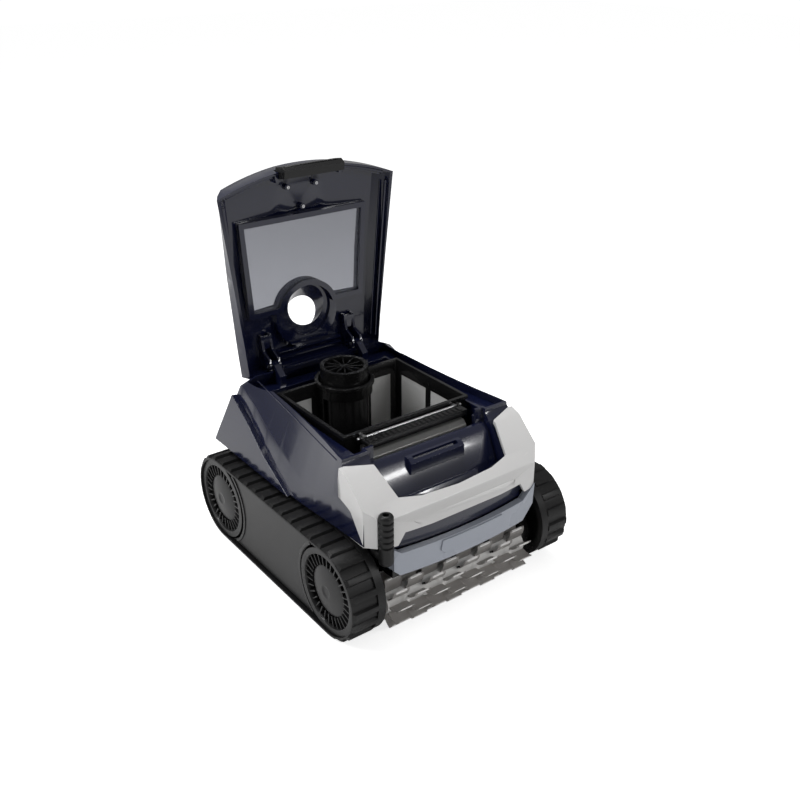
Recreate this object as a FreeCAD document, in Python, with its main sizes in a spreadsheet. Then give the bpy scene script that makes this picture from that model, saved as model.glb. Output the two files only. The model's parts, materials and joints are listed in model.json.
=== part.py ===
"""Robotic pool cleaner with its lid open. Millimetres, +Z up, the front faces -Y, +X is the right track.

The origin is on the ground under the middle of the wheelbase. Every sub-part is one labelled object, and
its label names its file in parts/.
"""
import FreeCAD, Part
import math
import os
import Sketcher
from FreeCAD import Placement, Rotation, Vector

doc = FreeCAD.newDocument("pool_cleaner")
sizes = doc.addObject("Spreadsheet::Sheet", "Sizes")
DRIVING = [
    ("overall_width", 380), ("wheel_base", 290), ("tread_radius", 69), ("tread_height", 4.2),
    ("tread_width", 39), ("belt_width", 51), ("belt_thickness", 2.8), ("belt_gap", 0.5),
    ("wheel_face_inset", 3), ("hub_radius", 13), ("axle_radius", 6), ("running_gap", 0.05),
    ("pan_half_width", 128), ("pan_wall", 4), ("pan_front", 128), ("pan_back", 196),
    ("pan_bottom", 24), ("pan_top", 139), ("shell_wall", 3.5), ("rim_rear_height", 251),
    ("hinge_back", 161), ("hinge_height", 255), ("lid_rim_back", 158),
    ("lid_corner_height", 516), ("lid_arch", 30), ("lid_foot_height", 244), ("lid_closed_angle", 92),
    ("port_height", 324), ("port_radius", 30), ("pump_back", 82), ("column_radius", 36),
    ("canister_half_width", 106), ("canister_front", 74), ("canister_back", 93),
    ("canister_floor", 106), ("canister_rim", 243), ("sleeve_radius", 42),
    ("brush_forward", 176), ("brush_height", 42), ("brush_radius", 38), ("brush_half_length", 122),
    ("nose_forward", 208), ("gland_side", 128), ("gland_forward", 198), ("gland_radius", 10),
]
for row, (alias, number) in enumerate(DRIVING, start=1):
    sizes.set("A%d" % row, alias)
    sizes.set("B%d" % row, str(number))
    sizes.setAlias("B%d" % row, alias)
doc.recompute()

parts = []


def val(expression):
    """The number an expression over the sheet gives."""
    return float(sizes.evalExpression(str(expression)))


def cell(alias):
    return float(sizes.get(alias))


def bind(obj, bindings):
    for prop, expression in bindings.items():
        obj.setExpression(prop, str(expression))
    return obj


def S(name):
    return "Sizes." + name


def keep(obj, label):
    """Marks obj as a finished sub-part: its label is its file's name."""
    obj.Label = label
    parts.append(obj)
    return obj


def box(name, low, high):
    """A Part::Box between two corners, each an expression per axis."""
    obj = doc.addObject("Part::Box", name)
    spans = {p: "(%s) - (%s)" % (high[i], low[i]) for i, p in enumerate(("Length", "Width", "Height"))}
    places = {"Placement.Base." + a: low[i] for i, a in enumerate("xyz")}
    return bind(obj, {**spans, **places})


def cylinder(name, radius, length, base, axis="z"):
    """A Part::Cylinder from base along +x, +y or +z; radius, length and base are expressions."""
    obj = doc.addObject("Part::Cylinder", name)
    turn = {"x": Rotation(Vector(0, 1, 0), 90), "y": Rotation(Vector(1, 0, 0), -90), "z": Rotation()}
    obj.Placement = Placement(Vector(0, 0, 0), turn[axis])
    places = {"Placement.Base." + a: base[i] for i, a in enumerate("xyz")}
    return bind(obj, {"Radius": radius, "Height": length, **places})


def cut(name, base, *tools):
    """Base less every tool, as Part::Cut features in a chain."""
    tool = tools[0] if len(tools) == 1 else fuse(name + "_tools", *tools)
    obj = doc.addObject("Part::Cut", name)
    obj.Base, obj.Tool = base, tool
    return obj


def fuse(name, *pieces):
    obj = doc.addObject("Part::MultiFuse", name)
    obj.Shapes = list(pieces)
    return obj


def group(name, *pieces):
    """Separate solids kept side by side in one sub-part."""
    obj = doc.addObject("Part::Compound", name)
    obj.Links = list(pieces)
    return obj


def pair(label, pieces):
    """The finished left and right pieces of one kind, as one sub-part of separate solids."""
    for piece in pieces:
        if piece in parts:
            parts.remove(piece)
    return keep(group(label, *pieces), label)


def shaped(label, shape):
    """A Part::Feature for a form that neither primitives nor sketches give."""
    obj = doc.addObject("Part::Feature", label)
    obj.Shape = shape
    return keep(obj, label)


def revolved(label, profile, centre, along_x=1):
    """A PartDesign body: the closed (distance along the axis, radius) profile turned about the axis X.

    centre gives the axis's y and z; along_x of -1 runs the profile towards -X.
    """
    body = doc.addObject("PartDesign::Body", label + "_body")
    plane = [o for o in body.Origin.OriginFeatures if o.Role == "XY_Plane"][0]
    sketch = body.newObject("Sketcher::SketchObject", label + "_profile")
    sketch.AttachmentSupport = [(plane, "")]
    sketch.MapMode = "FlatFace"
    points = [Vector(along_x * val(x), val(r), 0) for x, r in profile]
    for i, point in enumerate(points):
        sketch.addGeometry(Part.LineSegment(point, points[(i + 1) % len(points)]), False)
    for i, (x, r) in enumerate(profile):
        sketch.addConstraint(Sketcher.Constraint("Coincident", i, 2, (i + 1) % len(points), 1))
    for i, (x, r) in enumerate(profile):
        for kind, expression, number in (("DistanceX", "%d * (%s)" % (along_x, x), points[i].x),
                                         ("DistanceY", r, points[i].y)):
            k = sketch.addConstraint(Sketcher.Constraint(kind, -1, 1, i, 1, number))
            sketch.setExpression("Constraints[%d]" % k, str(expression))
    turn = body.newObject("PartDesign::Revolution", label + "_turn")
    turn.Profile = sketch
    turn.ReferenceAxis = (sketch, ["H_Axis"])
    turn.Angle = 360
    body.Tip = turn
    bind(body, {"Placement.Base.y": centre[0], "Placement.Base.z": centre[1]})
    return body


def prism(points, direction):
    """A face through the points, extruded by the vector direction."""
    wire = Part.makePolygon([Vector(*p) for p in points] + [Vector(*points[0])])
    return Part.Face(wire).extrude(Vector(*direction))


def lofted(sections):
    """A closed solid through polygons that share their number of corners."""
    wires = [Part.makePolygon([Vector(*p) for p in s] + [Vector(*s[0])]) for s in sections]
    return Part.makeLoft(wires, True, True)


def slab(low, high):
    return Part.makeBox(high[0] - low[0], high[1] - low[1], high[2] - low[2], Vector(*low))


def rod(radius, length, base, axis):
    return Part.makeCylinder(radius, length, Vector(*base), Vector(*axis))


def tube_x(outer, inner, low, high, y, z):
    """A ring about an axis along X between low and high."""
    return rod(outer, high - low, (low, y, z), (1, 0, 0)).cut(rod(inner, high - low, (low, y, z), (1, 0, 0)))


HALF = cell("overall_width") / 2
WHEEL_Y = cell("wheel_base") / 2
WHEEL_Z = cell("tread_radius")
BELT_OUTER = WHEEL_Z - cell("tread_height")
BELT_INNER = BELT_OUTER - cell("belt_thickness")
WHEEL_RADIUS = BELT_INNER - cell("belt_gap")
BELT_IN = HALF - cell("belt_width")
SIDES = (("left", -1), ("right", 1))
AXLES = (("front", -1), ("rear", 1))
wheel_outer = "%s/2 - %s" % (S("overall_width"), S("wheel_face_inset"))
belt_in = "%s/2 - %s" % (S("overall_width"), S("belt_width"))
wheel_z = S("tread_radius")
pump_y = S("pump_back")


def x_span(sign, near, far):
    """The low and high x expressions of a piece from near to far on one side."""
    return ("-(%s)" % far, "-(%s)" % near) if sign < 0 else (near, far)


# ---------------------------------------------------------------- tracks and wheels
def stadium(radius, low, high):
    """The solid that a belt of this radius encloses, between two x values."""
    length = high - low
    ends = [rod(radius, length, (low, a * WHEEL_Y, WHEEL_Z), (1, 0, 0)) for a in (-1, 1)]
    middle = slab((low, -WHEEL_Y, WHEEL_Z - radius), (high, WHEEL_Y, WHEEL_Z + radius))
    return middle.fuse(ends).removeSplitter()


def tread_bar(width):
    """One tread bar over y = 0, z = 0: wide foot, flat top, with its outer end chamfered."""
    height, foot, top = cell("tread_height"), 10.6, 7.6
    bar = prism([(0, -foot / 2, -0.6), (0, foot / 2, -0.6), (0, top / 2, height), (0, -top / 2, height)],
                (width, 0, 0))
    end = prism([(width - 4, -8, height + 1), (width + 1, -8, height + 1), (width + 1, -8, -0.2)], (0, 16, 0))
    return bar.cut(end)


def belt(sign):
    """A belt loop: a smooth band, a raised inner flange, and tread bars all the way round."""
    low, high = (BELT_IN, HALF) if sign > 0 else (-HALF, -BELT_IN)
    band = stadium(BELT_OUTER, low, high)
    flange_width = cell("belt_width") - cell("tread_width")
    flange_low = low if sign > 0 else high - flange_width
    band = band.fuse(stadium(WHEEL_Z - 1, flange_low, flange_low + flange_width))
    bars, pitch = [], math.radians(20)
    straight = 2 * WHEEL_Y
    count = 12
    tread = tread_bar(cell("tread_width") - 1)
    start = flange_low + flange_width + 0.5
    if sign < 0:
        tread = tread.mirror(Vector(0, 0, 0), Vector(1, 0, 0))
        start = flange_low - 0.5
    for a in (-1, 1):
        for i in range(9):
            angle = a * (math.radians(10) + i * pitch)
            bar = tread.copy()
            bar.Placement = Placement(Vector(start, a * WHEEL_Y + BELT_OUTER * math.sin(angle),
                                             WHEEL_Z + BELT_OUTER * math.cos(angle)),
                                      Rotation(Vector(1, 0, 0), -math.degrees(angle)))
            bars.append(bar)
    for i in range(count):
        y = -WHEEL_Y + (i + 0.5) * straight / count
        for turn, z in ((0, WHEEL_Z + BELT_OUTER), (180, WHEEL_Z - BELT_OUTER)):
            bar = tread.copy()
            bar.Placement = Placement(Vector(start, y, z), Rotation(Vector(1, 0, 0), turn))
            bars.append(bar)
    return band.fuse(bars).cut(stadium(BELT_INNER, low - 1, high + 1))


def wheel(label, sign, axle_sign):
    """A spoked wheel: rim, web and hub in one turned body, with a ring of radial vanes in its face."""
    y = "%d * %s/2" % (axle_sign, S("wheel_base"))
    rim = "%s - %s - %s - %s" % (S("tread_radius"), S("tread_height"), S("belt_thickness"), S("belt_gap"))
    bore = "%s + %s" % (S("axle_radius"), S("running_gap")) if axle_sign < 0 else S("axle_radius")
    inner = "%s + 2" % belt_in
    core = revolved(label, [
        (inner, bore), (inner, S("hub_radius")), ("%s + 18" % inner, S("hub_radius")),
        ("%s + 18" % inner, "(%s) - 6" % rim), (inner, "(%s) - 6" % rim), (inner, rim),
        (wheel_outer, rim), (wheel_outer, "(%s) - 8.5" % rim), ("%s - 3" % wheel_outer, "(%s) - 10" % rim),
        ("%s + 23" % inner, "(%s) - 10" % rim), ("%s + 23" % inner, "16"), ("%s - 8" % wheel_outer, "16"),
        ("%s - 8" % wheel_outer, bore)], (y, wheel_z), sign)
    vanes = []
    count = 30
    for i in range(count):
        vane = doc.addObject("Part::Box", label + "_vane")
        reach = math.radians(360.0 / count * i)
        across = Rotation(Vector(1, 0, 0), math.degrees(reach))
        start = across.multVec(Vector(0, -0.9, 36.5))
        vane.Placement = Placement(Vector(0, 0, 0), across)
        low = "%s + 21" % inner if sign > 0 else "-(%s - 2)" % wheel_outer
        bind(vane, {"Length": "%s - 2 - (%s + 21)" % (wheel_outer, inner), "Width": "1.8", "Height": "16",
                    "Placement.Base.x": low, "Placement.Base.y": "%s + %.4f" % (y, start.y),
                    "Placement.Base.z": "%s + %.4f" % (wheel_z, start.z)})
        vanes.append(vane)
    return keep(fuse(label + "_whole", core, *vanes), label)


def hub_cap(label, sign, axle_sign):
    """The smooth domed cap over a wheel's hub, with a small dished centre."""
    face = "%s + 1" % wheel_outer
    profile = [("%s - 7.9" % wheel_outer, "0"), ("%s - 7.9" % wheel_outer, "36"), ("%s - 5" % face, "36"),
               ("%s - 2.6" % face, "33"), ("%s - 0.9" % face, "25"), (face, "15"), (face, "9.5"),
               ("%s - 1.8" % face, "7.5"), ("%s - 1.8" % face, "0")]
    return keep(revolved(label, profile, ("%d * %s/2" % (axle_sign, S("wheel_base")), wheel_z), sign), label)


frames, covers, axles, seals = [], [], [], []
for side, sign in SIDES:
    shaped("track_belt_" + side, belt(sign))
    for end, axle_sign in AXLES:
        wheel("wheel_%s_%s" % (end, side), sign, axle_sign)
        hub_cap("hub_cap_%s_%s" % (end, side), sign, axle_sign)
    near, far = x_span(sign, S("pan_half_width"), belt_in + " - 1")
    rail = box("rail_" + side, (near, "-%s/2 - 20" % S("wheel_base"), "45"),
               (far, "%s/2 + 20" % S("wheel_base"), "93"))
    near, far = x_span(sign, S("pan_half_width"), "176")
    core = box("rail_core_" + side, (near, "-70", "30"), (far, "70", "108"))
    hole = cylinder("rail_hole_" + side, "10", "60", ("-158" if sign < 0 else "98",
                    "%s/2" % S("wheel_base"), wheel_z), "x")
    pin_hole = cylinder("rail_pin_hole_" + side, S("axle_radius"), "60", ("-158" if sign < 0 else "98",
                        "-%s/2" % S("wheel_base"), wheel_z), "x")
    frames.append(cut("track_frame_" + side, fuse("track_frame_raw_" + side, rail, core), hole, pin_hole))
    near, far = x_span(sign, "176", "%s - 2" % wheel_outer)
    plate = box("side_plate_" + side, (near, "-125", "9.5"), (far, "125", "128.5"))
    bites = [cylinder("side_bite_%s_%s" % (end, side), "64.5", "30", ("-200" if sign < 0 else "170",
             "%d * %s/2" % (a, S("wheel_base")), wheel_z), "x") for end, a in AXLES]
    covers.append(cut("side_cover_" + side, plate, *bites))
    near, far = x_span(sign, S("pan_half_width"), "%s - 9" % wheel_outer)
    axles.append(cylinder("front_axle_" + side, S("axle_radius"), "(%s) - (%s)" % (far, near),
                          (near, "-%s/2" % S("wheel_base"), wheel_z), "x"))
    near, far = x_span(sign, "90", "%s - 9" % wheel_outer)
    keep(cylinder("drive_shaft_" + side, S("axle_radius"), "(%s) - (%s)" % (far, near),
                  (near, "%s/2" % S("wheel_base"), wheel_z), "x"), "drive_shaft_" + side)
    low, high = sorted((sign * (cell("pan_half_width") - 4), sign * (BELT_IN - 1)))
    seals.append(tube_x(10, cell("axle_radius") + cell("running_gap"), low, high, WHEEL_Y, WHEEL_Z))
pair("track_frames", frames)
pair("side_covers", covers)
pair("front_axles", axles)
shaped("shaft_seals", Part.makeCompound(seals))

# ---------------------------------------------------------------- chassis and motor unit
pan_x = S("pan_half_width")
pan_outer = box("pan_outer", ("-" + pan_x, "-" + S("pan_front"), S("pan_bottom")),
                (pan_x, S("pan_back"), S("pan_top")))
pan_inner = box("pan_inner", ("-%s + %s" % (pan_x, S("pan_wall")), "-%s + %s" % (S("pan_front"), S("pan_wall")),
                              "%s + %s" % (S("pan_bottom"), S("pan_wall"))),
                ("%s - %s" % (pan_x, S("pan_wall")), "%s - %s" % (S("pan_back"), S("pan_wall")), "200"))
intake = box("pan_intake", ("-78", "-74", "0"), ("78", "-30", "40"))
shaft_holes = cylinder("pan_shaft_holes", "10", "300", ("-150", "%s/2" % S("wheel_base"), wheel_z), "x")
keep(cut("pan_cut", pan_outer, pan_inner, intake, shaft_holes), "chassis_pan")

duct_outer = box("duct_outer", ("-80", "-76", "28"), ("80", "-28", "104"))
duct_inner = box("duct_inner", ("-77", "-73", "20"), ("77", "-31", "110"))
keep(cut("duct_cut", duct_outer, duct_inner), "intake_duct")

case_outer = box("case_outer", ("-98", "38", "28"), ("98", "174", "97"))
case_inner = box("case_inner", ("-94", "42", "32"), ("94", "170", "97"))
case_holes = cylinder("case_holes", "%s + %s" % (S("axle_radius"), S("running_gap")), "220",
                      ("-110", "%s/2" % S("wheel_base"), wheel_z), "x")
keep(cut("case_cut", case_outer, case_inner, case_holes), "motor_case")
case_lid = box("case_lid_plate", ("-98", "38", "97"), ("98", "174", "101"))
case_lid_hole = cylinder("case_lid_hole", "4.05", "20", ("0", pump_y, "90"))
keep(cut("case_lid_cut", case_lid, case_lid_hole), "motor_case_lid")
motors = []
for side, sign in SIDES:
    near, far = x_span(sign, "16", "89")
    motors.append(cylinder("drive_motor_" + side, "22", "(%s) - (%s)" % (far, near),
                           (near, "%s/2" % S("wheel_base"), wheel_z), "x"))
pair("drive_motors", motors)
keep(cylinder("pump_motor_can", "24", "58", ("0", pump_y, "33")), "pump_motor")
keep(box("board_plate", ("-88", "112", "34"), ("88", "114", "94")), "control_board")

column_outer = cylinder("column_outer", S("column_radius"), "153", ("0", pump_y, "101"))
column_inner = cylinder("column_inner", "%s - 3" % S("column_radius"), "170", ("0", pump_y, "100"))
column_slots = [box("column_slot_%s" % name, low, high) for name, low, high in (
    ("x", ("-50", pump_y + " - 15", "112"), ("50", pump_y + " + 15", "160")),
    ("y", ("-15", pump_y + " - 50", "112"), ("15", pump_y + " + 50", "160")))]
keep(cut("column_cut", column_outer, column_inner, *column_slots), "pump_column")


def guard():
    """The ring over the propeller, with twelve radial bars and a centre boss."""
    y, low, top = cell("pump_back"), 254, 264
    radius = cell("column_radius")
    ring = rod(radius, top - low, (0, y, low), (0, 0, 1)).cut(rod(radius - 6, 20, (0, y, low - 3), (0, 0, 1)))
    bars = [rod(6, 5, (0, y, low + 4), (0, 0, 1))]
    for i in range(12):
        bar = slab((-1, 4, low + 4), (1, radius - 5, low + 8))
        bar.rotate(Vector(0, 0, 0), Vector(0, 0, 1), 30 * i)
        bar.translate(Vector(0, y, 0))
        bars.append(bar)
    return ring.fuse(bars)


shaped("propeller_guard", guard())


def propeller():
    """A hub with four pitched blades."""
    y = cell("pump_back")
    hub = rod(9, 24, (0, y, 222), (0, 0, 1)).cut(rod(4, 40, (0, y, 215), (0, 0, 1)))
    blades = []
    for i in range(4):
        blade = slab((7, -9, -1.2), (30.5, 9, 1.2))
        blade.rotate(Vector(0, 0, 0), Vector(1, 0, 0), 32)
        blade.rotate(Vector(0, 0, 0), Vector(0, 0, 1), 90 * i)
        blade.translate(Vector(0, y, 234))
        blades.append(blade)
    return hub.fuse(blades)


shaped("propeller", propeller())
keep(cylinder("pump_shaft_rod", "4", "151", ("0", pump_y, "91.5")), "pump_shaft")

# ---------------------------------------------------------------- filter canister
can_x, can_front, can_back = cell("canister_half_width"), cell("canister_front"), cell("canister_back")
can_low, can_rim = cell("canister_floor"), cell("canister_rim")
PUMP = (0, cell("pump_back"), 0)
WINDOWS = [(-can_front + 14, 4), (16, can_back - 16)]


def canister():
    """The filter basket: rim, pierced walls, floor with its inlet, and a sleeve round the pump column."""
    wall = 3
    frame = slab((-can_x, -can_front, can_low), (can_x, can_back, can_rim))
    lip = slab((-can_x - 2.5, -can_front - 2.5, can_rim - 5), (can_x + 2.5, can_back + 2.5, can_rim))
    frame = frame.fuse(lip)
    frame = frame.cut(slab((-can_x + wall, -can_front + wall, can_low + wall),
                           (can_x - wall, can_back - wall, can_rim + 1)))
    sleeve = cell("sleeve_radius")
    height = can_rim - can_low
    frame = frame.fuse(rod(sleeve, height, (0, PUMP[1], can_low), (0, 0, 1)))
    frame = frame.fuse(rod(sleeve + 3, 6, (0, PUMP[1], can_rim - 6), (0, 0, 1)))
    frame = frame.cut(rod(sleeve - 2.5, height + 40, (0, PUMP[1], can_low - 20), (0, 0, 1)))
    frame = frame.cut(slab((-60, -70, can_low - 1), (60, -32, can_low + wall + 1)))
    rib = slab((-1.5, -can_front + wall - 0.5, can_low + wall - 0.5),
               (1.5, PUMP[1] - sleeve + 1, can_low + 46))
    frame = frame.fuse(rib.cut(slab((-70, -75, 0), (70, -18, can_low + 60))))
    for low, high in WINDOWS:
        frame = frame.cut(slab((-can_x - 1, low, can_low + 26), (can_x + 1, high, can_rim - 22)))
    for sign in (-1, 1):
        low, high = sorted((sign * 20, sign * 90))
        frame = frame.cut(slab((low, -can_front - 1, can_low + 22),
                               (high, -can_front + wall + 1, can_low + 64)))
        low, high = sorted((sign * 54, sign * 92))
        frame = frame.cut(slab((low, can_back - wall - 1, can_low + 26), (high, can_back + 1, can_rim - 22)))
    return frame


shaped("canister_frame", canister())
panels = []
for side, sign in SIDES:
    near, far = sorted((sign * (can_x - 2.2), sign * (can_x - 0.8)))
    for low, high in WINDOWS:
        panels.append(slab((near, low, can_low + 26), (far, high, can_rim - 22)))
    low, high = sorted((sign * 20, sign * 90))
    panels.append(slab((low, -can_front + 0.8, can_low + 22), (high, -can_front + 2.2, can_low + 64)))
    low, high = sorted((sign * 54, sign * 92))
    panels.append(slab((low, can_back - 2.2, can_low + 26), (high, can_back - 0.8, can_rim - 22)))
shaped("filter_mesh", Part.makeCompound(panels))
FLAP_Y, FLAP_Z = -27.0, can_low + 7.0
flap = slab((-63, -70.5, can_low + 3.4), (63, FLAP_Y - 3, can_low + 5.4))
flap = flap.fuse(rod(2.5, 126, (-63, FLAP_Y, FLAP_Z), (1, 0, 0)))
flap = flap.fuse(slab((-63, FLAP_Y - 6, can_low + 3.4), (63, FLAP_Y - 0.5, can_low + 7)))
shaped("intake_flap", flap.cut(rod(1.55, 130, (-65, FLAP_Y, FLAP_Z), (1, 0, 0))))
lugs = [slab((min(s * 63.5, s * 67), FLAP_Y - 4, can_low + 3), (max(s * 63.5, s * 67), FLAP_Y + 4, FLAP_Z + 3))
        for s in (-1, 1)]
shaped("flap_pin", rod(1.5, 134, (-67, FLAP_Y, FLAP_Z), (1, 0, 0)).fuse(lugs))
CARTRIDGE = [(-can_front, 176), (-can_front, 223), (-99, 223), (-106, 216), (-106, 192), (-98, 176)]
shaped("canister_front_cartridge", prism([(-82, y, z) for y, z in CARTRIDGE], (164, 0, 0)))
HANDLE_Y, HANDLE_Z = -can_front - 7.0, 236.0


def canister_handle():
    """The ribbed carrying bar, hinged along the canister's front rim."""
    plate = slab((-86, HANDLE_Y - 20, HANDLE_Z - 4), (86, HANDLE_Y - 4.5, HANDLE_Z + 1))
    plate = plate.fuse(slab((-86, HANDLE_Y - 20, HANDLE_Z - 8), (86, HANDLE_Y - 17, HANDLE_Z + 1)))
    ribs = []
    for i in range(20):
        left = -82 + 8.2 * i
        ribs.append(slab((left, HANDLE_Y - 18, HANDLE_Z + 0.5), (left + 4.5, HANDLE_Y - 7, HANDLE_Z + 2.6)))
    ends = []
    for s in (-1, 1):
        low, high = sorted((s * 82, s * 86))
        ends.append(slab((low, HANDLE_Y - 5, HANDLE_Z - 4), (high, HANDLE_Y + 3, HANDLE_Z + 1)))
        ends.append(rod(4, 4, (low, HANDLE_Y, HANDLE_Z), (1, 0, 0)))
    return plate.fuse(ribs + ends).cut(rod(2.05, 200, (-100, HANDLE_Y, HANDLE_Z), (1, 0, 0)))


shaped("canister_handle", canister_handle())
pin = rod(2, 180, (-90, HANDLE_Y, HANDLE_Z), (1, 0, 0))
pin_lugs = [slab((min(s * 76, s * 81.5), HANDLE_Y - 3, HANDLE_Z - 4),
                 (max(s * 76, s * 81.5), -can_front, HANDLE_Z + 2)) for s in (-1, 1)]
shaped("handle_pin", pin.fuse(pin_lugs))

# ---------------------------------------------------------------- upper body
WALL = cell("shell_wall")
LOW_Z, NOSE_Y = 141.5, -178
RIM = cell("rim_rear_height")
SLOPE = math.tan(math.radians(cell("lid_closed_angle") - 90))
STATIONS = [  # y, half width at the foot, crease x, crease z, half width at the rim
    (205, 150, 136, 232, 110), (150, 153, 135, 240, 112), (110, 156, 137, 224, 115),
    (70, 157, 141, 206, 118), (30, 158, 145, 190, 121), (0, 158, 147, 179, 124),
    (-35, 157, 150, 169, 128), (-70, 155, 151, 172, 133), (-110, 152, 150, 186, 140),
    (-150, 150, 149, 180, 145), (NOSE_Y, 149, 148, 176, 147)]


def rim_z(y):
    return RIM - SLOPE * (cell("hinge_back") - y)


def shell_block(inset, low, lift=0.0):
    """The body's outer form drawn in by inset: ruled sides through the stations."""
    sections = []
    for y, foot, crease_x, crease_z, rim in STATIONS:
        half = [(foot - inset, y, low), (crease_x - inset, y, crease_z), (rim - inset, y, rim_z(y) + lift)]
        sections.append(half + [(-x, yy, z) for x, yy, z in reversed(half)])
    return lofted(sections)


def slanted_ends(inset):
    """What the body's sloping rear wall and sloping nose cut away, drawn in by inset."""
    rear = prism([(-200, 152 - inset, 300), (-200, 152 - inset, 251), (-200, 164 - inset, 225),
                  (-200, 198 - inset, 138), (-200, 198 - inset, 100), (-200, 300, 100), (-200, 300, 300)],
                 (400, 0, 0))
    front = prism([(-200, -122 + inset, 300), (-200, -122 + inset, 236), (-200, -126 + inset, 231),
                   (-200, NOSE_Y + 8 + inset, 181), (-200, NOSE_Y + inset, 174), (-200, NOSE_Y + inset, 100),
                   (-200, -300, 100), (-200, -300, 300)], (400, 0, 0))
    return rear.fuse(front)


def nose_pocket(grow, side):
    """The hand recess behind the bumper's band: a sloping back wall and a flat floor."""
    profile = [(-116, 300), (-116, 222), (-130, 211), (-149, 170), (-156, 159), (-250, 157), (-250, 300)]
    return prism([(-side - grow, y + grow * (y > -200), z - grow * (z < 300)) for y, z in profile],
                 (2 * (side + grow), 0, 0))


SILL_Z, SILL_SIDE, TONGUE_SIDE = 201, 88, 46
body_outer = shell_block(0, LOW_Z).cut(slanted_ends(0))
solid_nose = body_outer
body_outer = body_outer.cut(nose_pocket(0, 101))
body_inner = shell_block(WALL, LOW_Z - 5, 6).cut(slanted_ends(WALL)).cut(nose_pocket(WALL, 101))
sill_gap = slab((-SILL_SIDE, -140, SILL_Z), (SILL_SIDE, -104, 300))
tongue = slab((-TONGUE_SIDE, -140, SILL_Z), (TONGUE_SIDE, -114, SILL_Z + 12))
shaped("body_shell", body_outer.cut(body_inner).cut(sill_gap.cut(tongue)))

deck = slab((-140, -112, 228), (140, 151, 231)).common(body_inner)
well_out, well_in = (112.5, -111.5, 130.5), (110, -109, 128)
deck = deck.cut(slab((-well_in[0], well_in[1], 200), (well_in[0], well_in[2], 260)))
well = slab((-well_out[0], well_out[1], 101.5), (well_out[0], well_out[2], 228.5))
well = well.cut(slab((-well_in[0], well_in[1], 90), (well_in[0], well_in[2], 260)))
sill = slab((-100, -140, SILL_Z - 3), (100, -109, SILL_Z)).common(body_inner)
shaped("filter_well", deck.fuse(well).cut(sill_gap).fuse(sill))


def side_fin(sign):
    """The swept triangular panel on the rear flank, proud of the shell and following its lean."""
    outline = [(0, 166, 226), (0, 186, 176), (0, 200, 141.5), (0, 120, 141.5), (0, -16, 141.5), (0, 60, 172),
               (0, 120, 205)]
    lean, thick = math.degrees(math.atan(16 / 85.0)), 30
    panel = prism([(139, y, z) for _, y, z in outline], (thick, 0, 0))
    panel.rotate(Vector(165, 0, 141.5), Vector(0, 1, 0), -lean)
    panel = panel.common(prism([(100, -30, 141.5), (163.5, -30, 141.5), (145, -30, 230), (100, -30, 230)],
                               (0, 240, 0)))
    solid = max(panel.cut(body_outer).Solids, key=lambda piece: piece.Volume)
    return solid if sign > 0 else solid.mirror(Vector(0, 0, 0), Vector(1, 0, 0))


shaped("side_fins", Part.makeCompound([side_fin(sign) for _, sign in SIDES]))


def plan_outline(inset, low, high):
    """The nose seen from above, drawn in by inset: two straight flanks and one bowed front."""
    front = -cell("nose_forward") + inset
    side, corner = 149 - inset, 130 - inset
    left, right = Vector(-corner, front + 11, low), Vector(corner, front + 11, low)
    bow = Part.Arc(left, Vector(0, front, low), right).toShape()
    path = [right, Vector(side, NOSE_Y + 1 + inset * 0.4, low), Vector(side, -100, low),
            Vector(-side, -100, low), Vector(-side, NOSE_Y + 1 + inset * 0.4, low), left]
    lines = [Part.LineSegment(a, b).toShape() for a, b in zip(path, path[1:])]
    return Part.Face(Part.Wire([bow] + lines)).extrude(Vector(0, 0, high - low))


BUMPER_SIDE = [(-125, 233), (-142, 227), (-179, 193), (-196, 181), (-203, 170), (-206, 156), (-206, 140),
               (-112, 140)]


def bumper_block(inset):
    """The front bumper's side profile across the nose, with its own plan outline."""
    ring = [(-160, y + inset * (y < -115), z - inset * (z > 150)) for y, z in BUMPER_SIDE]
    return prism(ring, (320, 0, 0)).common(plan_outline(inset, 100, 260))


def front_bumper():
    """The pale U-shaped bumper: two arms up the flanks, one band across, open in the middle."""
    block = bumper_block(0).cut(bumper_block(4))
    opening = Part.makePolygon([Vector(*p) for p in [
        (-103, -90, 100), (-103, -142, 100), (-93, -177, 100), (-60, -184, 100), (0, -187, 100),
        (60, -184, 100), (93, -177, 100), (103, -142, 100), (103, -90, 100), (-103, -90, 100)]])
    block = block.cut(Part.Face(opening).extrude(Vector(0, 0, 200)))
    for sign in (-1, 1):
        back = Part.makePolygon([Vector(sign * x, y, 150) for x, y in (
            (150, -122), (101, -138), (90, -138), (90, -90), (150, -90), (150, -122))])
        block = block.cut(Part.Face(back).extrude(Vector(0, 0, 150)))
    under = prism([(-116, -300, 130), (-100, -300, 157), (100, -300, 157), (116, -300, 130)], (0, 200, 0))
    block = block.cut(under).cut(solid_nose)
    block = block.cut(rod(cell("gland_radius") + 0.8, 100, (-cell("gland_side"), -cell("gland_forward"), 110),
                          (0, 0, 1)))
    return max(block.Solids, key=lambda piece: piece.Volume)


bumper = front_bumper()
shaped("front_bumper", bumper)

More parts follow.
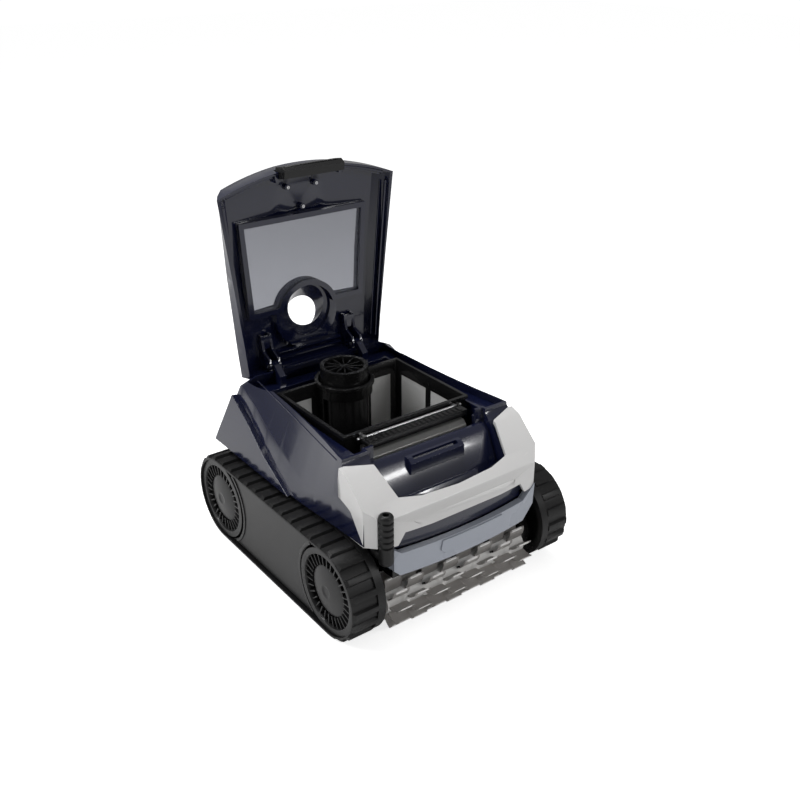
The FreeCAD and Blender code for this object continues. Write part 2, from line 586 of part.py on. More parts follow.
liner = nose_pocket(0, 98).cut(nose_pocket(-2.4, 120)).cut(slab((-200, -300, 100), (200, -168, 300)))
liner = liner.cut(slab((-200, -300, 221), (200, 0, 320)))
rib = prism([(-62, -158, 159), (-62, -149, 171), (-62, -155, 172.5), (-62, -163, 160.5)], (124, 0, 0))
scoop = liner.fuse(rib).cut(body_outer).cut(bumper)
scoop = max(scoop.Solids, key=lambda piece: piece.Volume)
shaped("nose_scoop", scoop)
CATCH = [(-126, 213), (-126, 217), (-136, 217), (-143, 211), (-143, 196), (-139, 192), (-136, 192)]
catch = prism([(-TONGUE_SIDE, y, z) for y, z in CATCH], (2 * TONGUE_SIDE, 0, 0))
catch = catch.cut(slab((-38, -139, 212), (38, -133, 230))).cut(scoop).cut(bumper).cut(body_outer)
shaped("lid_catch", max(catch.Solids, key=lambda piece: piece.Volume))

band = plan_outline(10, 128, 154).cut(plan_outline(22, 120, 160)).cut(slab((-200, -170, 100), (200, 0, 200)))
band = band.common(slab((-114, -300, 100), (114, 0, 200))).cut(body_outer).cut(scoop).cut(bumper)
shaped("nose_band", max(band.Solids, key=lambda piece: piece.Volume))

gland_space = rod(cell("gland_radius") + 0.8, 120, (-cell("gland_side"), -cell("gland_forward"), 60), (0, 0, 1))
face = prism([(-131, -300, 146), (-106, -300, 128), (106, -300, 128), (131, -300, 146), (129, -300, 114),
              (108, -300, 94), (-108, -300, 94), (-129, -300, 114)], (0, 200, 0))
lower = plan_outline(-1.5, 90, 150).cut(plan_outline(8, 80, 160)).common(face)
lower = lower.cut(slab((-200, -183, 80), (200, 0, 160))).cut(bumper).cut(gland_space).cut(body_outer)
lower = max(lower.Solids, key=lambda piece: piece.Volume)
shaped("lower_bumper", lower)
insert = prism([(-44, -300, 126), (62, -300, 126), (58, -300, 112), (50, -300, 105), (-40, -300, 105),
                (-47, -300, 112)], (0, 200, 0))
insert = insert.common(plan_outline(-3.5, 90, 150)).cut(plan_outline(-1.5, 80, 160))
insert = insert.cut(slab((-200, -190, 80), (200, 0, 160)))
shaped("bumper_insert", insert)
ledge = slab((-112, -186, 84), (112, -124, 92)).fuse(slab((-112, -190, 84), (112, -184, 127)))
ledge = ledge.cut(lower).cut(slab((-200, -128, 0), (200, 0, 200)))
shaped("nose_support", max(ledge.Solids, key=lambda piece: piece.Volume))

# ---------------------------------------------------------------- brush
BRUSH_Y, BRUSH_Z = -cell("brush_forward"), cell("brush_height")
brush_y, brush_z = "-" + S("brush_forward"), S("brush_height")
core = revolved("brush_core", [("-%s" % S("brush_half_length"), "4"), ("-%s" % S("brush_half_length"), "19"),
                               (S("brush_half_length"), "19"), (S("brush_half_length"), "4")],
                (brush_y, brush_z))
keep(core, "brush_core")


def brush_fins():
    """Staggered rows of flat fins round the core: eight blocks along it, ten fins round each."""
    length, blocks, around = 2 * cell("brush_half_length"), 8, 10
    step = length / blocks
    pieces = []
    for i in range(blocks):
        for k in range(around):
            fin = slab((0, -1.1, 19), (step - 3, 1.1, cell("brush_radius")))
            fin.rotate(Vector(0, 0, 0), Vector(1, 0, 0), 360.0 / around * (k + 0.5 * (i % 2)))
            fin.translate(Vector(-length / 2 + i * step + 1.5, BRUSH_Y, BRUSH_Z))
            pieces.append(fin)
    return Part.makeCompound([p.cut(core.Shape) for p in pieces])


doc.recompute()
shaped("brush_fins", brush_fins())
keep(cylinder("brush_spindle_rod", "4", "2*%s + 13" % S("brush_half_length"),
              ("-%s - 6.5" % S("brush_half_length"), brush_y, brush_z), "x"), "brush_spindle")
arms = []
for side, sign in SIDES:
    low, high = sorted((sign * 123.5, sign * 136))
    arm = prism([(low, -186, 30), (low, -190, 60), (low, -178, 84), (low, -124, 92), (low, -124, 58),
                 (low, -160, 34)], (high - low, 0, 0))
    arm = arm.cut(slab((min(sign * 120, sign * 128), -128, 0), (max(sign * 120, sign * 128), 0, 200)))
    arm = arm.cut(slab((min(sign * 128, sign * 150), -165, 45), (max(sign * 128, sign * 150), 0, 93)))
    arm = arm.cut(rod(4.05, 6, (min(sign * 123, sign * 129), BRUSH_Y, BRUSH_Z), (1, 0, 0)))
    arms.append(max(arm.Solids, key=lambda piece: piece.Volume))
shaped("brush_arms", Part.makeCompound(arms))

# ---------------------------------------------------------------- cable gland
GLAND = (-cell("gland_side"), -cell("gland_forward"))


def cable_gland():
    """The ribbed upright strain relief, bored for the cable, with the elbow that enters the nose."""
    radius = cell("gland_radius")
    post = rod(radius, 58, (GLAND[0], GLAND[1], 128), (0, 0, 1))
    post = post.fuse(Part.makeCone(radius, 6.5, 9, Vector(GLAND[0], GLAND[1], 186), Vector(0, 0, 1)))
    for i in range(3):
        z = 150 + 12.5 * i
        post = post.cut(rod(radius + 1, 2.2, (GLAND[0], GLAND[1], z), (0, 0, 1)).cut(
            rod(radius - 2.2, 2.2, (GLAND[0], GLAND[1], z), (0, 0, 1))))
    knee = Part.makeSphere(radius, Vector(GLAND[0], GLAND[1], 128))
    elbow = rod(radius - 1.5, 22, (GLAND[0], GLAND[1], 128), (0, 1, 0))
    bore = rod(4.25, 80, (GLAND[0], GLAND[1], 150), (0, 0, 1))
    return post.fuse([knee, elbow]).cut(bore)


gland = cable_gland().cut(body_outer).cut(bumper).cut(lower)
shaped("cable_gland", max(gland.Solids, key=lambda piece: piece.Volume))

# ---------------------------------------------------------------- lid, drawn standing open
HINGE_Y, HINGE_Z = cell("hinge_back"), cell("hinge_height")
RIM_Y, FOOT_Z, TOP_Z = cell("lid_rim_back"), cell("lid_foot_height"), cell("lid_corner_height")
LID_STATIONS = [(FOOT_Z, 118, 124, 108, 186, 192), (290, 122, 127, 112, 188, 197),
                (400, 134, 134, 120, 189, 199), (TOP_Z, 148, 141, 128, 184, 193),
                (TOP_Z + 40, 152, 144, 131, 182, 190)]


def lid_block(inset, front):
    """The lid's outer form drawn in by inset, from the y of its open front to its crowned skin."""
    sections = []
    for z, rim, flank, shoulder, side_y, crown_y in LID_STATIONS:
        half = [(rim - inset, front, z), (flank - inset, side_y - 14 - inset, z),
                (shoulder - inset, side_y - inset, z), (40, crown_y - inset, z)]
        sections.append(half + [(-x, y, zz) for x, y, zz in reversed(half)])
    return lofted(sections)


def lid_face(inset):
    """The lid's outline seen from the front: straight foot, straight flanks and an arched free end."""
    top, foot, wide = TOP_Z - inset, FOOT_Z + inset, 160
    corner_l, corner_r = Vector(-wide, 100, top - 3), Vector(wide, 100, top - 3)
    arch = Part.Arc(corner_l, Vector(0, 100, top + cell("lid_arch")), corner_r).toShape()
    lines = [Part.LineSegment(corner_r, Vector(wide, 100, foot)).toShape(),
             Part.LineSegment(Vector(wide, 100, foot), Vector(-wide, 100, foot)).toShape(),
             Part.LineSegment(Vector(-wide, 100, foot), corner_l).toShape()]
    return Part.Face(Part.Wire([arch] + lines)).extrude(Vector(0, 150, 0))


lid_outer = lid_block(0, RIM_Y).common(lid_face(0))
lid_inner = lid_block(3, RIM_Y - 5).common(lid_face(3))
PORT_Z = cell("port_height")
WINDOW = [(-101, 466), (101, 466), (93, 336), (-93, 336)]


def window_prism(grow, y_low, y_high):
    points = [(x + math.copysign(grow, x), y_low, z + (grow if z > 400 else -grow)) for x, z in WINDOW]
    return prism(points, (0, y_high - y_low, 0)).cut(rod(54 - grow, 100, (0, 130, PORT_Z - 8), (0, 1, 0)))


FLANGE = 42
port_tool = rod(FLANGE, 80, (0, 150, PORT_Z - 2), (0, 1, 0))
lid = lid_outer.cut(lid_inner).cut(window_prism(0, 150, 230)).cut(port_tool)
boss = rod(54, 18, (0, 181, PORT_Z - 8), (0, 1, 0)).common(lid_outer)
bar = slab((-34, 177, 273), (34, 184, 277))
lid = lid.fuse(boss).fuse(bar).cut(port_tool)
for z in (256, 264):
    lid = lid.fuse(slab((-58, 176, z), (58, 190, z + 2)).common(lid_outer))
pane_low, pane_high = 180.0, 182.5
pane = window_prism(5, pane_low, pane_high)
shaped("window_pane", pane)
frame_ring = window_prism(8, pane_low - 4, 189).common(lid_inner).cut(window_prism(0, 150, 230))
frame_ring = frame_ring.cut(window_prism(5.05, pane_low - 0.05, pane_high + 0.05)).cut(lid)


def throat(rings):
    """A solid through circles in planes across Y: each ring is its y, its centre's z and its radius."""
    wires = [Part.Wire(Part.Circle(Vector(0, y, z), Vector(0, 1, 0), r).toShape()) for y, z, r in rings]
    return Part.makeLoft(wires, True, True)


def outlet_duct():
    """The water outlet: a ring on the lid's inside, and a throat that narrows and drops on its way out."""
    radius = cell("port_radius")
    inlet, drop = PORT_Z + 4, 19
    outer = throat([(184, inlet, radius + 6), (203, inlet - drop, radius + 1.5)])
    flange = rod(FLANGE, 5, (0, 185, PORT_Z - 2), (0, 1, 0))
    bore = throat([(183, inlet + 1, radius + 2.2), (204, inlet - drop - 1, radius - 2)])
    return outer.fuse(flange).cut(bore)


duct = outlet_duct().cut(lid).cut(pane)
shaped("outlet_duct", max(duct.Solids, key=lambda piece: piece.Volume))
frame_ring = frame_ring.cut(duct)
shaped("window_frame", Part.makeCompound([s for s in frame_ring.Solids if s.Volume > 100]))
ARM_X = 75


def ring_yz(radius, low, high):
    return rod(radius, high - low, (low, HINGE_Y, HINGE_Z), (1, 0, 0))


hinge_arms, hinge_lugs, hinge_pins = [], [], []
for side, sign in SIDES:
    ribs = []
    for near in (-9.5, 5.5):
        low = sign * ARM_X + near
        rib = prism([(low, HINGE_Y - 7, HINGE_Z), (low, HINGE_Y - 3, HINGE_Z + 12), (low, 174, 275),
                     (low, 180, 298), (low, 188, 298), (low, 188, 252), (low, HINGE_Y + 4, HINGE_Z - 6)],
                    (4, 0, 0))
        ribs.append(rib.fuse(ring_yz(7.5, low, low + 4)))
    arm = ribs[0].fuse([ribs[1], slab((sign * ARM_X - 9.5, 178, 276), (sign * ARM_X + 9.5, 183, 296))])
    arm = arm.cut(ring_yz(3.05, -200, 200)).cut(lid)
    hinge_arms.append(max(arm.Solids, key=lambda piece: piece.Volume))
    low, high = sign * ARM_X - 5, sign * ARM_X + 5
    lug = prism([(low, 134, 231), (low, 134, 246), (low, 150, 260), (low, HINGE_Y, HINGE_Z + 6.5),
                 (low, HINGE_Y + 3, HINGE_Z - 6), (low, 155, 251.5), (low, 148.3, 251.5), (low, 148.3, 231)],
                (10, 0, 0)).fuse(ring_yz(6.8, low, high))
    lug = lug.cut(ring_yz(3, -200, 200)).cut(body_outer.cut(body_inner))
    hinge_lugs.append(max(lug.Solids, key=lambda piece: piece.Volume))
    hinge_pins.append(ring_yz(3, sign * ARM_X - 10.5, sign * ARM_X + 10.5))
shaped("hinge_arms", Part.makeCompound(hinge_arms))
shaped("hinge_lugs", Part.makeCompound(hinge_lugs))
shaped("hinge_pins", Part.makeCompound(hinge_pins))

screws = []
bosses = []
for x, z in ((-24, 514), (24, 514), (0, 483)):
    screws.append(rod(2.4, 5, (x, 178, z), (0, 1, 0)).cut(rod(1.1, 1.5, (x, 177.5, z), (0, 1, 0))))
    bosses.append(rod(4.2, 18, (x, 180, z), (0, 1, 0)).common(lid_inner))
shaped("lid_screws", Part.makeCompound(screws))
latch_body = prism([(-50, 143, 536), (-50, 142, 547), (-50, 150, 552), (-50, 166, 549), (-50, 169, 538),
                    (-50, 162, 532.5)], (100, 0, 0))
grooves = [slab((-44, 143 + 5.2 * i, 549.6), (44, 144.8 + 5.2 * i, 556)) for i in range(4)]
LATCH_Y, LATCH_Z = 164.0, 536.5
latch_body = latch_body.cut(grooves).fuse(rod(3.6, 100, (-50, LATCH_Y, LATCH_Z), (1, 0, 0)))
ears = []
for _, sign in SIDES:
    low, high = sorted((sign * 50.6, sign * 57))
    ears.append(slab((low, 159, 529), (high, 172, 545)).common(lid_outer))
lid = lid.fuse(bosses + ears).cut(pane)
lid = lid.cut(slab((-50.6, 120, 528), (50.6, 173, 570))).cut(rod(1.5, 112, (-56, LATCH_Y, LATCH_Z), (1, 0, 0)))
lid = lid.cut(Part.makeCompound(screws))
shaped("lid_shell", max(lid.Solids, key=lambda piece: piece.Volume))
shaped("latch_grip", latch_body.cut(rod(1.55, 120, (-60, LATCH_Y, LATCH_Z), (1, 0, 0))))
shaped("latch_pin", rod(1.5, 112, (-56, LATCH_Y, LATCH_Z), (1, 0, 0)))

# ---------------------------------------------------------------- check and write
doc.recompute()
for obj in doc.Objects:
    if "Invalid" in obj.State or "Error" in obj.State:
        raise RuntimeError("%s is %s" % (obj.Name, obj.State))
labels = [p.Label for p in parts]
if len(set(labels)) != len(labels):
    raise RuntimeError("two sub-parts share a label")
os.makedirs("parts", exist_ok=True)
for stale in os.listdir("parts"):
    os.remove(os.path.join("parts", stale))
for part in parts:
    if part.Shape.isNull() or not part.Shape.isValid() or part.Shape.Volume <= 0:
        raise RuntimeError("%s has no valid shape" % part.Label)
    print("%-26s %9.0f mm3  %d solid(s)" % (part.Label, part.Shape.Volume, len(part.Shape.Solids)))
    part.Shape.exportStep("parts/%s.step" % part.Label)
print(len(parts), "sub-parts")
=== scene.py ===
"""The looks of a tracked robotic pool cleaner with its lid open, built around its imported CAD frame.

Lengths are metres. The front faces -Y, +Z is up, and the ground is z = 0.
"""
import bmesh
import bpy
import json
import math
import numpy as np
from mathutils import Euler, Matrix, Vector


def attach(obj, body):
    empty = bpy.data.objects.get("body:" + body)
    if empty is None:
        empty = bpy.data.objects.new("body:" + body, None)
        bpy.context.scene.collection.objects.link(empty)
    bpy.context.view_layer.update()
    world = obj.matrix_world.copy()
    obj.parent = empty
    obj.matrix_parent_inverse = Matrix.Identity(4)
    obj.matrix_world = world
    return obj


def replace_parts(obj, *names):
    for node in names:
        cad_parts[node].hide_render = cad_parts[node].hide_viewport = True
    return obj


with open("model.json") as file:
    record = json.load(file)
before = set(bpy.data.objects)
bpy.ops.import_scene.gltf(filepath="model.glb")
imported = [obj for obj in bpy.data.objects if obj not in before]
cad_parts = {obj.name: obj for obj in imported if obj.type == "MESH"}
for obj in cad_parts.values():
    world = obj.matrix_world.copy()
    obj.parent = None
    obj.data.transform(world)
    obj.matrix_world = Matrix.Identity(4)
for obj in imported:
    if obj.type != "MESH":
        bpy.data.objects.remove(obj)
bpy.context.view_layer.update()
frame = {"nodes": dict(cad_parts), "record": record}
MM = 0.001
record = frame["record"]
BODY_OF = {node: body for body, nodes in record["behaviour"]["bodies"].items() for node in nodes}
SLOT_OF = {row["node"]: row["material_slot"] for row in record["subparts"]}


# ---------------------------------------------------------------- node groups
def new_group(name, inputs, outputs):
    """An empty shader node group with float inputs {name: default} and outputs {name: socket type}."""
    tree = bpy.data.node_groups.new(name, "ShaderNodeTree")
    for label, default in inputs.items():
        socket = tree.interface.new_socket(label, in_out="INPUT", socket_type="NodeSocketFloat")
        socket.default_value = default
    for label, kind in outputs.items():
        tree.interface.new_socket(label, in_out="OUTPUT", socket_type=kind)
    return tree, tree.nodes.new("NodeGroupInput"), tree.nodes.new("NodeGroupOutput")


def math_node(tree, operation, a, b=None, clamp=False):
    """The output of a Math node on a and b, each a number or a socket."""
    node = tree.nodes.new("ShaderNodeMath")
    node.operation, node.use_clamp = operation, clamp
    for i, value in enumerate((a, b)):
        if value is None:
            continue
        if isinstance(value, (int, float)):
            node.inputs[i].default_value = value
        else:
            tree.links.new(value, node.inputs[i])
    return node.outputs[0]


def noise_node(tree, coords, scale, detail, roughness=0.5):
    """The output of a Noise Texture node, from 0 to 1."""
    node = tree.nodes.new("ShaderNodeTexNoise")
    node.inputs["Scale"].default_value = scale
    node.inputs["Detail"].default_value = detail
    node.inputs["Roughness"].default_value = roughness
    tree.links.new(coords, node.inputs["Vector"])
    return node.outputs[0]


def ramp_node(tree, value, low, high):
    """Maps low..high to 0..1, smoothly."""
    node = tree.nodes.new("ShaderNodeMapRange")
    node.interpolation_type = "SMOOTHSTEP"
    node.inputs["From Min"].default_value = low
    node.inputs["From Max"].default_value = high
    tree.links.new(value, node.inputs["Value"])
    return node.outputs[0]


def moulding_group():
    """Moulded plastic: cloudy tone, fine grain height, faint scuffs, and dust on faces that look up."""
    tree, _, out = new_group("moulding_surface", {}, {
        "Cloud": "NodeSocketFloat", "Grain": "NodeSocketFloat", "Scuffs": "NodeSocketFloat",
        "Dust": "NodeSocketFloat"})
    coords = tree.nodes.new("ShaderNodeTexCoord").outputs["Object"]
    cloud = noise_node(tree, coords, 14.0, 4.0)
    grain = noise_node(tree, coords, 900.0, 2.0, 0.6)
    stretch = tree.nodes.new("ShaderNodeMapping")
    stretch.inputs["Scale"].default_value = (35.0, 420.0, 90.0)
    stretch.inputs["Rotation"].default_value = (0.3, 0.2, 0.7)
    tree.links.new(coords, stretch.inputs["Vector"])
    scuffs = ramp_node(tree, noise_node(tree, stretch.outputs[0], 1.0, 5.0, 0.65), 0.62, 0.78)
    facing = tree.nodes.new("ShaderNodeNewGeometry")
    split = tree.nodes.new("ShaderNodeSeparateXYZ")
    tree.links.new(facing.outputs["Normal"], split.inputs[0])
    upward = ramp_node(tree, split.outputs["Z"], 0.35, 1.0)
    speck = ramp_node(tree, noise_node(tree, coords, 60.0, 6.0, 0.7), 0.5, 0.75)
    for name, value in (("Cloud", cloud), ("Grain", grain), ("Scuffs", scuffs),
                        ("Dust", math_node(tree, "MULTIPLY", upward, speck))):
        tree.links.new(value, out.inputs[name])
    return tree


def weave_group():
    """A fine square mesh: sine threads along X + Y and along Z, as a height and a hole mask."""
    tree, put, out = new_group("fine_weave", {"Pitch": 1.2},
                               {"Height": "NodeSocketFloat", "Holes": "NodeSocketFloat"})
    coords = tree.nodes.new("ShaderNodeTexCoord").outputs["Object"]
    split = tree.nodes.new("ShaderNodeSeparateXYZ")
    tree.links.new(coords, split.inputs[0])
    turns = math_node(tree, "DIVIDE", 2000.0 * math.pi, put.outputs["Pitch"])
    along = math_node(tree, "ADD", split.outputs["X"], split.outputs["Y"])
    waves = []
    for axis in (along, split.outputs["Z"]):
        wave = math_node(tree, "SINE", math_node(tree, "MULTIPLY", axis, turns))
        waves.append(math_node(tree, "ABSOLUTE", wave))
    height = math_node(tree, "MAXIMUM", *waves)
    holes = math_node(tree, "SUBTRACT", 1.0, ramp_node(tree, height, 0.2, 0.7))
    tree.links.new(height, out.inputs["Height"])
    tree.links.new(holes, out.inputs["Holes"])
    return tree


MOULDING = moulding_group()
WEAVE = weave_group()


# ---------------------------------------------------------------- materials
def mix_colour(tree, mask, a, b):
    """Blends colour a to colour b by mask; each is a tuple or a socket."""
    node = tree.nodes.new("ShaderNodeMix")
    node.data_type = "RGBA"
    tree.links.new(mask, node.inputs["Factor"])
    for socket, value in ((node.inputs[6], a), (node.inputs[7], b)):
        if isinstance(value, tuple):
            socket.default_value = (*value, 1.0)
        else:
            tree.links.new(value, socket)
    return node.outputs[2]


def shade(colour, factor):
    """The colour times a factor, at most 1."""
    return tuple(min(1.0, c * factor) for c in colour)


def plastic(name, colour, rough, coat=0.0, cloud=0.12, scuff=1.3, dust=(0.0, 0.0, 0.0), dusty=0.0,
            grain=0.02, rough_spread=0.08, specular=0.5, **extra):
    """Moulded plastic or rubber: cloudy colour, scuffs that lighten and roughen, fine grain in the bump."""
    mat = bpy.data.materials.new(name)
    mat.use_nodes = True
    tree = mat.node_tree
    shader = tree.nodes["Principled BSDF"]
    surface = tree.nodes.new("ShaderNodeGroup")
    surface.node_tree = MOULDING
    tone = mix_colour(tree, surface.outputs["Cloud"],
                      shade(colour, 1 - cloud), shade(colour, 1 + cloud))
    weak = math_node(tree, "MULTIPLY", surface.outputs["Scuffs"], 0.35)
    tone = mix_colour(tree, weak, tone, shade(colour, scuff))
    if dusty:
        dusted = math_node(tree, "MULTIPLY", surface.outputs["Dust"], dusty)
        tone = mix_colour(tree, dusted, tone, dust)
    tree.links.new(tone, shader.inputs["Base Color"])
    spread = math_node(tree, "MULTIPLY", surface.outputs["Cloud"], rough_spread)
    worn = math_node(tree, "MULTIPLY", surface.outputs["Scuffs"], 0.12)
    uneven = math_node(tree, "ADD", spread, worn)
    total = math_node(tree, "ADD", uneven, rough - rough_spread / 2, clamp=True)
    tree.links.new(total, shader.inputs["Roughness"])
    bump = tree.nodes.new("ShaderNodeBump")
    bump.inputs["Strength"].default_value = 1.0
    bump.inputs["Distance"].default_value = grain * MM
    tree.links.new(surface.outputs["Grain"], bump.inputs["Height"])
    tree.links.new(bump.outputs[0], shader.inputs["Normal"])
    shader.inputs["Coat Weight"].default_value = coat
    shader.inputs["Coat Roughness"].default_value = 0.06
    shader.inputs["Specular IOR Level"].default_value = specular
    for socket, value in extra.items():
        shader.inputs[socket.replace("_", " ")].default_value = value
    return mat


def mesh_cloth(name, colour):
    """Pale filter mesh: woven threads, with painted shade in the holes between them."""
    mat = plastic(name, colour, 0.75, cloud=0.05, grain=0.05)
    tree = mat.node_tree
    shader = tree.nodes["Principled BSDF"]
    weave = tree.nodes.new("ShaderNodeGroup")
    weave.node_tree = WEAVE
    below = shader.inputs["Base Color"].links[0].from_socket
    # Painted shade: the holes are darkened to stand in for the shaded inside seen through them.
    hole_shade = math_node(tree, "MULTIPLY", weave.outputs["Holes"], 0.5)
    tone = mix_colour(tree, hole_shade, below, shade(colour, 0.45))
    tree.links.new(tone, shader.inputs["Base Color"])
    bump = tree.nodes.new("ShaderNodeBump")
    bump.inputs["Distance"].default_value = 0.25 * MM
    tree.links.new(weave.outputs["Height"], bump.inputs["Height"])
    tree.links.new(bump.outputs[0], shader.inputs["Normal"])
    return mat


NAVY = (0.0055, 0.0075, 0.028)
MATERIALS = {
    "navy_gloss": plastic("navy_gloss_moulding", NAVY, 0.17, coat=0.5, cloud=0.1, grain=0.004,
                          scuff=1.6),
    "black_rubber": plastic("black_track_rubber", (0.0075, 0.0075, 0.0078), 0.42, cloud=0.25,
                            grain=0.06, dust=(0.05, 0.048, 0.045), dusty=0.12, specular=0.32),
    "black_plastic": plastic("black_satin_moulding", (0.006, 0.006, 0.0063), 0.25, grain=0.015,
                             specular=0.4),
    "grey_plastic": plastic("dark_grey_moulding", (0.0105, 0.0105, 0.011), 0.33, grain=0.02,
                            specular=0.35),
    "white_gloss": plastic("white_gloss_moulding", (0.66, 0.655, 0.65), 0.25, coat=0.3,
                           cloud=0.03, scuff=0.9, grain=0.004),
    "pale_grey": plastic("pale_blue_grey_moulding", (0.33, 0.355, 0.41), 0.28, coat=0.3,
                         cloud=0.04, scuff=0.9, grain=0.006),
    "smoke_clear": plastic("smoke_clear_window", (0.42, 0.43, 0.47), 0.1, cloud=0.03,
                           grain=0.003, rough_spread=0.03, Transmission_Weight=0.92, IOR=1.2),
    "filter_fabric": mesh_cloth("pale_filter_mesh", (0.62, 0.62, 0.61)),
    "cartridge_grey": plastic("grey_translucent_moulding", (0.16, 0.16, 0.155), 0.25, grain=0.02,
                                coat=0.3),
    "brush_pvc": plastic("taupe_brush_vinyl", (0.46, 0.44, 0.425), 0.3, cloud=0.2, grain=0.03,
                         Transmission_Weight=0.35, IOR=1.3),
    # The brush tube's own pale colour, also used for the painted glints on the flap tips.
    "brush_white": plastic("pale_brush_tube_and_painted_glints", (0.80, 0.79, 0.77), 0.4, grain=0.02),
    "steel": plastic("stainless_steel", (0.60, 0.60, 0.61), 0.28, cloud=0.05, grain=0.01,
                     Metallic=1.0),
    "board_green": plastic("circuit_board", (0.02, 0.12, 0.05), 0.4, grain=0.02),
    "motor_metal": plastic("motor_can_metal", (0.45, 0.45, 0.47), 0.35, grain=0.01,
                           Metallic=1.0),
}
for node, obj in frame["nodes"].items():
    obj.data.materials.clear()
    obj.data.materials.append(MATERIALS[SLOT_OF[node]])


# ---------------------------------------------------------------- mesh helpers
def mesh_object(name, points, faces, body, slot, smooth=35.0):
    """A piece from points (n, 3) and faces, smoothed up to an angle, riding on a body."""
    mesh = bpy.data.meshes.new(name)
    mesh.from_pydata(np.asarray(points, float).tolist(), [], faces)
    mesh.validate()
    work = bmesh.new()
    work.from_mesh(mesh)
    bmesh.ops.delete(work, geom=[v for v in work.verts if not v.link_faces], context="VERTS")
    bmesh.ops.remove_doubles(work, verts=work.verts, dist=1e-6)
    bmesh.ops.recalc_face_normals(work, faces=work.faces)
    work.to_mesh(mesh)
    work.free()
    return dress(bpy.data.objects.new(name, mesh), body, slot, smooth)


def dress(obj, body, slot, smooth=35.0):
    """Links a piece, gives it its material, smooths it by angle and hangs it on its body."""
    bpy.context.scene.collection.objects.link(obj)
    obj.data.materials.clear()
    obj.data.materials.append(MATERIALS[slot])
    obj.data.shade_smooth()
    obj.data.set_sharp_from_angle(angle=math.radians(smooth))
    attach(obj, body)
    return obj


PIERCED = ("canister_frame", "filter_well", "lid_shell", "chassis_pan", "window_frame",
           "propeller_guard")
FLAT_WITHIN = 0.6        # degrees between faces that are joined as one
EDGE_FROM = 30.0         # degrees between faces, past which an edge is rounded
EDGE_SEGMENTS = 2


def softened(node, width):
    """A copy of a CAD node with its edges rounded by the given width in millimetres.

    Flat faces are joined first, except on pierced nodes, whose faces have holes in them.
    """
    source = frame["nodes"][node].data
    mesh = source.copy()
    work = bmesh.new()
    work.from_mesh(mesh)
    bmesh.ops.remove_doubles(work, verts=work.verts, dist=2e-5)
    if node not in PIERCED:
        bmesh.ops.dissolve_limit(work, angle_limit=math.radians(FLAT_WITHIN), verts=work.verts,
                                 edges=work.edges)
    work.to_mesh(mesh)
    work.free()
    mesh.name = node + "_finished"
    obj = dress(bpy.data.objects.new(mesh.name, mesh), BODY_OF[node], SLOT_OF[node], 40.0)
    bevel = obj.modifiers.new("edge_rounding", "BEVEL")
    bevel.width = width * MM
    bevel.segments = EDGE_SEGMENTS
    bevel.limit_method = "ANGLE"
    bevel.angle_limit = math.radians(EDGE_FROM)
    bevel.use_clamp_overlap = True
    bevel.harden_normals = True
    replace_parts(obj, node)
    return obj


def turned(name, profile, centre, axis, body, slot, around=72, smooth=40.0):
    """A turned piece: point (i, k) is the profile's i-th (along, radius), swung k steps round."""
    profile = np.asarray(profile, float) * MM
    swing = np.linspace(0, 2 * np.pi, around, endpoint=False)
    along = np.repeat(profile[:, 0], around)
    radius = np.repeat(profile[:, 1], around)
    cos, sin = np.tile(np.cos(swing), len(profile)), np.tile(np.sin(swing), len(profile))
    places = {"x": (along, radius * cos, radius * sin), "y": (radius * sin, along, radius * cos),
              "z": (radius * cos, radius * sin, along)}[axis]
    points = np.stack(places, 1) + np.asarray(centre, float) * MM
    i, k = np.meshgrid(np.arange(len(profile) - 1), np.arange(around), indexing="ij")
    a, b = i * around + k, i * around + (k + 1) % around
    faces = np.stack([a, b, b + around, a + around], -1).reshape(-1, 4).tolist()
    for end in (0, len(profile) - 1):
        if profile[end, 1] > 1e-7:
            faces.append((end * around + np.arange(around)).tolist())
    return mesh_object(name, points, faces, body, slot, smooth)


def dome(face, rim, radius, dish, height):
    """The hub cap's profile, a dome with a small dish in its middle.

    It stands face + height * cos(quarter turn * r / radius) ** 0.7, less dish * (1 - (r / 9) ** 4).
    """
    r = np.linspace(radius, 0, 26)
    swell = height * np.cos(r / radius * np.pi / 2) ** 0.7
    dip = dish * np.clip(1 - (r / 9.0) ** 4, 0, 1)
    return [(rim, radius)] + [(face + s - d, x) for s, d, x in zip(swell, dip, r)]


# ---------------------------------------------------------------- pieces
SIDES = (("left", -1), ("right", 1))
WHEEL_Y, WHEEL_Z = 145, 69

for node, width in (("body_shell", 1.2), ("lid_shell", 1.2), ("front_bumper", 1.6), ("lower_bumper", 1.6),
                    ("bumper_insert", 0.9), ("side_fins", 1.0), ("nose_band", 1.5), ("nose_scoop", 0.8),
                    ("lid_catch", 0.9), ("latch_grip", 1.2), ("canister_frame", 0.9), ("side_covers", 1.2),
                    ("canister_handle", 0.7), ("canister_front_cartridge", 1.8), ("filter_well", 0.8),
                    ("window_frame", 0.8), ("hinge_arms", 0.7), ("hinge_lugs", 0.8), ("chassis_pan", 1.5),
                    ("brush_arms", 0.8), ("track_belt_left", 0.5), ("track_belt_right", 0.5),
                    ("propeller_guard", 0.5)):
    softened(node, width)
for wheel in ("wheel_front_left", "wheel_front_right", "wheel_rear_left", "wheel_rear_right"):
    softened(wheel, 0.5)


def arc_profile(low, high, radius, corner, grooves=(), depth=0.0, width=2.2):
    """A bar's profile with quarter-circle shoulders.

    Each groove cuts in by depth * exp(-(distance / half its width) ** 4).
    """
    along = np.linspace(low, high, 160)
    shoulder = np.clip(np.minimum(along - low, high - along) / corner, 0, 1)
    r = radius - corner * (1 - np.sqrt(1 - (1 - shoulder) ** 2))
    for centre in grooves:
        r = r - depth * np.exp(-((along - centre) / (width / 2)) ** 4)
    return list(zip(along, r))


